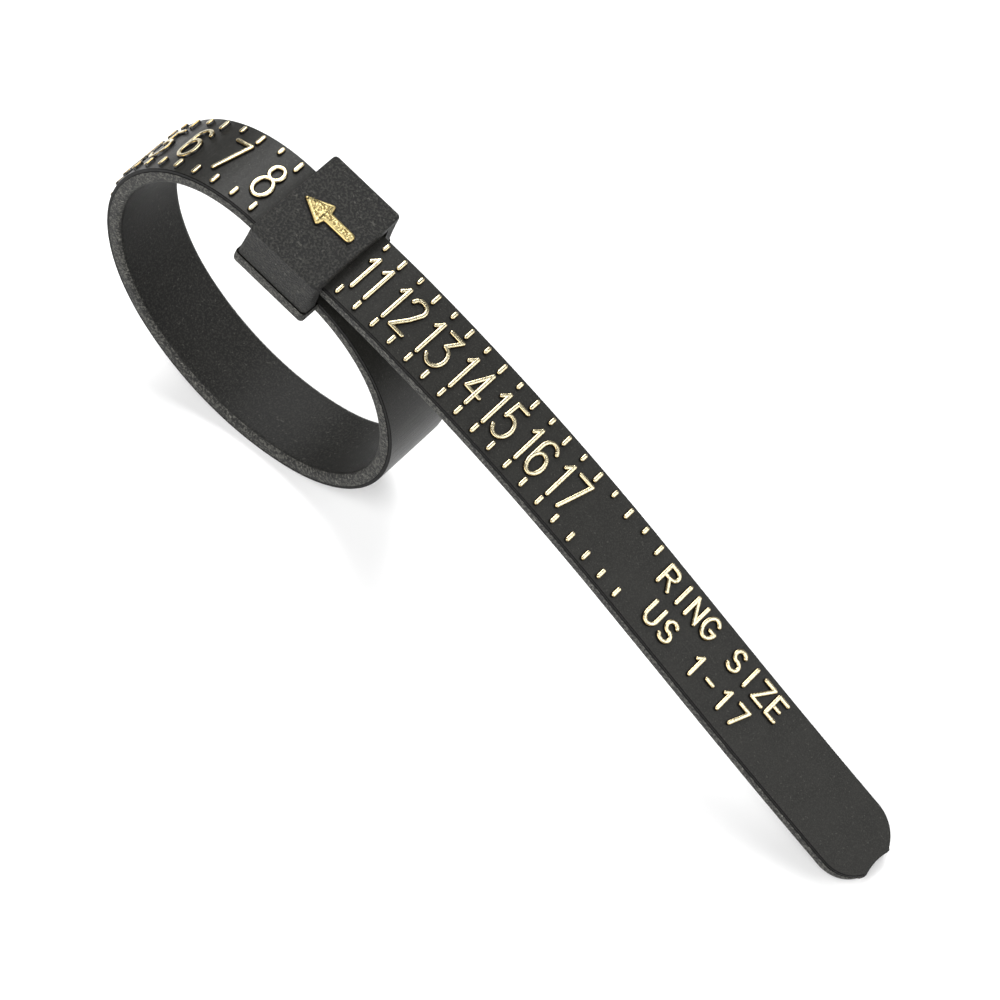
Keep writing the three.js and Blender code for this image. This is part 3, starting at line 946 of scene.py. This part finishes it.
def build_arrow():
    """The raised arrow on the roof, which points at the mouth, where the size is read."""
    neck = ARROW_TIP + ARROW_HEAD
    end = ARROW_TIP + ARROW_LENGTH
    head, shaft = ARROW_HEAD_WIDTH / 2, ARROW_SHAFT / 2
    outline = rounded_outline(
        [
            (ARROW_TIP, 0, ARROW_ROUNDS["point"]),
            (neck - ARROW_BARB, -head, ARROW_ROUNDS["barb"]),
            (neck, -shaft, ARROW_ROUNDS["neck"]),
            (end, -shaft, ARROW_ROUNDS["end"]),
            (end, shaft, ARROW_ROUNDS["end"]),
            (neck, shaft, ARROW_ROUNDS["neck"]),
            (neck - ARROW_BARB, head, ARROW_ROUNDS["barb"]),
        ]
    )
    tangent = np.roll(outline, -1, axis=0) - np.roll(outline, 1, axis=0)
    outward = np.stack([tangent[:, 1], -tangent[:, 0]], axis=1)
    outward /= np.linalg.norm(outward, axis=1, keepdims=True)
    flat, rise = [], []
    # From the foot of the arrow up and in: how far out, share of its height, and foil cover, which also
    # sets how far the painted highlight reaches.
    levels = (
        (0.05, -0.3, 0),
        (0.04, 0, 0.1),
        (0.02, 0.6, 0.65),
        (-0.02, 0.85, 0.9),
        (-0.08, 0.97, 0.94),
        (-0.14, 1, 0.97),
        (-0.2, 1, 1),
    )
    for out, share, up in levels:
        ring = outline + outward * out
        flat += [(x, y + ARROW_ACROSS, HOOD_TOP + share * MARK_HEIGHT) for x, y in ring]
        rise += [up] * len(ring)
    columns = len(outline)
    faces = grid_faces(len(levels), columns, closed_columns=True)
    faces.append(tuple(range(len(flat) - columns, len(flat))))
    made = make_mesh("arrow_mark", to_row(flat), faces, flat, [ARROW_FOIL], rise=rise)
    weld(made)
    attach(made, "buckle")
    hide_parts("buckle_arrow")


# ---- Floor, light and camera ----


def build_floor():
    material = bpy.data.materials.new("studio_floor")
    material.use_nodes = True
    shader = material.node_tree.nodes["Principled BSDF"]
    shader.inputs["Base Color"].default_value = (0.96, 0.96, 0.96, 1)
    shader.inputs["Roughness"].default_value = 0.7
    reach = 0.6
    mesh = bpy.data.meshes.new("studio_floor")
    corners = [(-reach, -reach, 0), (reach, -reach, 0), (reach, reach, 0), (-reach, reach, 0)]
    mesh.from_pydata(corners, [], [(0, 1, 2, 3)])
    mesh.materials.append(material)
    floor = bpy.data.objects.new("studio_floor", mesh)
    bpy.context.scene.collection.objects.link(floor)


def area_light(name, place, size, power, target=(0, 0, 0.01)):
    """A soft box. place is in metres, size is its sides in metres."""
    data = bpy.data.lights.new(name, "AREA")
    data.shape = "RECTANGLE"
    data.size, data.size_y = size
    data.energy = power
    light = bpy.data.objects.new(name, data)
    light.location = place
    light.rotation_mode = "QUATERNION"
    light.rotation_quaternion = (Vector(target) - Vector(place)).to_track_quat("-Z", "Y")
    bpy.context.scene.collection.objects.link(light)


def build_light():
    world = bpy.data.worlds.new("studio")
    world.use_nodes = True
    background = world.node_tree.nodes["Background"]
    background.inputs["Color"].default_value = (1, 1, 1, 1)
    background.inputs["Strength"].default_value = 0.2
    bpy.context.scene.world = world
    area_light("softbox_left", (-0.22, 0.29, 0.48), (0.34, 0.42), 3.0)
    area_light("softbox_right", (0.44, 0.22, 0.38), (0.4, 0.5), 1.6)
    area_light("softbox_front", (0.05, -0.45, 0.45), (0.9, 0.6), 6.0)


CAMERA_PLACE = (0.06724, -0.1063, 0.1919)
CAMERA_AZIMUTH = 32.38
CAMERA_ELEVATION = 55.66
CAMERA_ROLL = 9.38
CAMERA_LENS = 147.0


def build_camera():
    """The camera looks along its azimuth and elevation, rolled a little to its left."""
    data = bpy.data.cameras.new("camera")
    data.lens = CAMERA_LENS
    data.sensor_width = 36
    data.clip_start = 0.01
    data.clip_end = 10
    camera = bpy.data.objects.new("camera", data)
    azimuth, elevation = math.radians(CAMERA_AZIMUTH), math.radians(CAMERA_ELEVATION)
    ahead = Vector(
        (
            -math.sin(azimuth) * math.cos(elevation),
            math.cos(azimuth) * math.cos(elevation),
            -math.sin(elevation),
        )
    )
    camera.location = CAMERA_PLACE
    camera.rotation_mode = "QUATERNION"
    roll = Quaternion((0, 0, 1), math.radians(CAMERA_ROLL))
    camera.rotation_quaternion = ahead.to_track_quat("-Z", "Y") @ roll
    bpy.context.scene.collection.objects.link(camera)
    bpy.context.scene.camera = camera


build_loop()
build_tail()
size_labels()
ticks()
wording()
build_buckle()
build_arrow()
build_floor()
build_light()
build_camera()
bpy.context.scene.view_settings.view_transform = "Standard"
